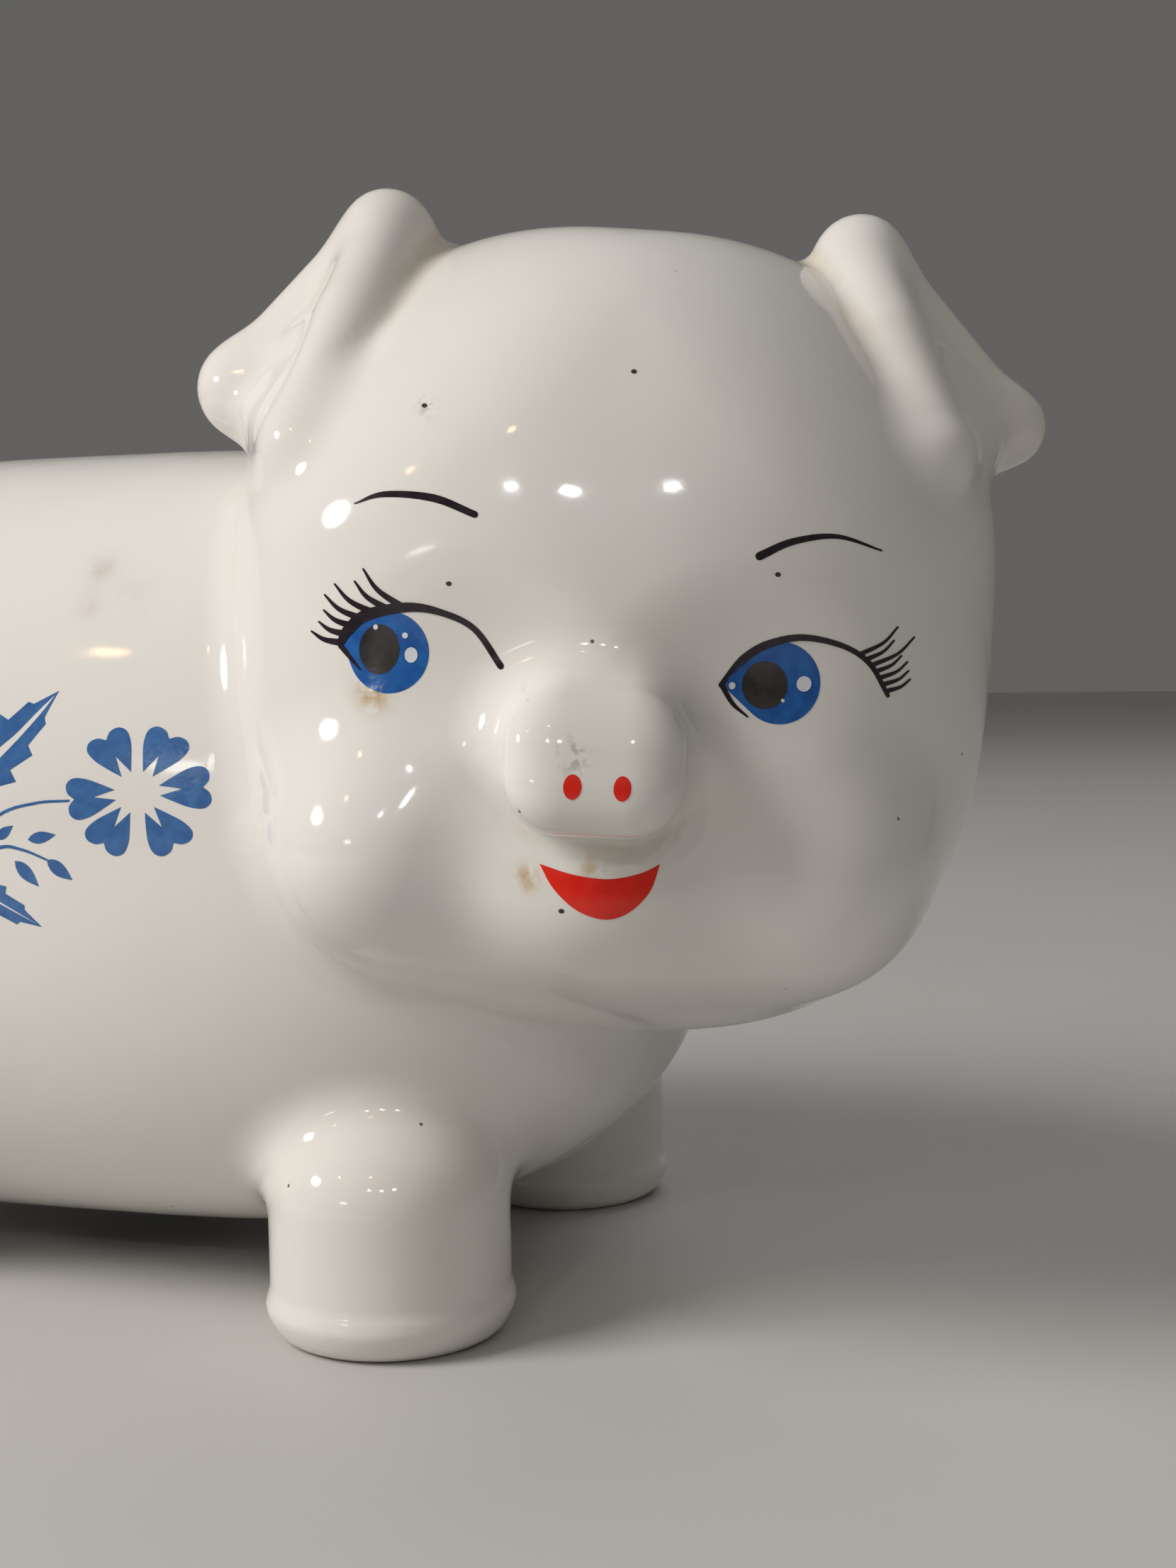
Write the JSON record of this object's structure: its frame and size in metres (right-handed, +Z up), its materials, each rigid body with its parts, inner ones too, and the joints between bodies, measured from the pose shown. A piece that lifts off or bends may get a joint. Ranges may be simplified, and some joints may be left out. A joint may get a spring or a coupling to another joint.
{
  "type": "piggy bank",
  "caption": "Hollow glazed ceramic pig coin bank with its head turned to the side, folded ears, a coin slot along the back and a rubber stopper in the belly.",
  "frame": {"origin": "middle of the bank's outline in plan, on the surface it stands on", "axes": "+X from tail to chest along the trunk, +Y to the pig's left, +Z up; the face looks towards -Y and a little +X"},
  "size_m": [0.3316, 0.1841, 0.2158],
  "materials": {
    "white_glaze": "glossy warm white glaze with painted face and blue flower sprays under a clear coat",
    "stopper_rubber": "matt black moulded rubber"
  },
  "bodies": {
    "bank": {"body_shell": "white_glaze", "head_shell": "white_glaze", "snout": "white_glaze", "left_ear": "white_glaze", "right_ear": "white_glaze", "front_left_leg": "white_glaze", "front_right_leg": "white_glaze", "rear_left_leg": "white_glaze", "rear_right_leg": "white_glaze", "tail": "white_glaze"},
    "stopper": {"stopper": "stopper_rubber"}
  },
  "joints": [
    {"name": "stopper_pull", "type": "slide", "parent": "bank", "child": "stopper", "axis": [0, 0, -1], "range_m": [0, 0.0068]}
  ]
}
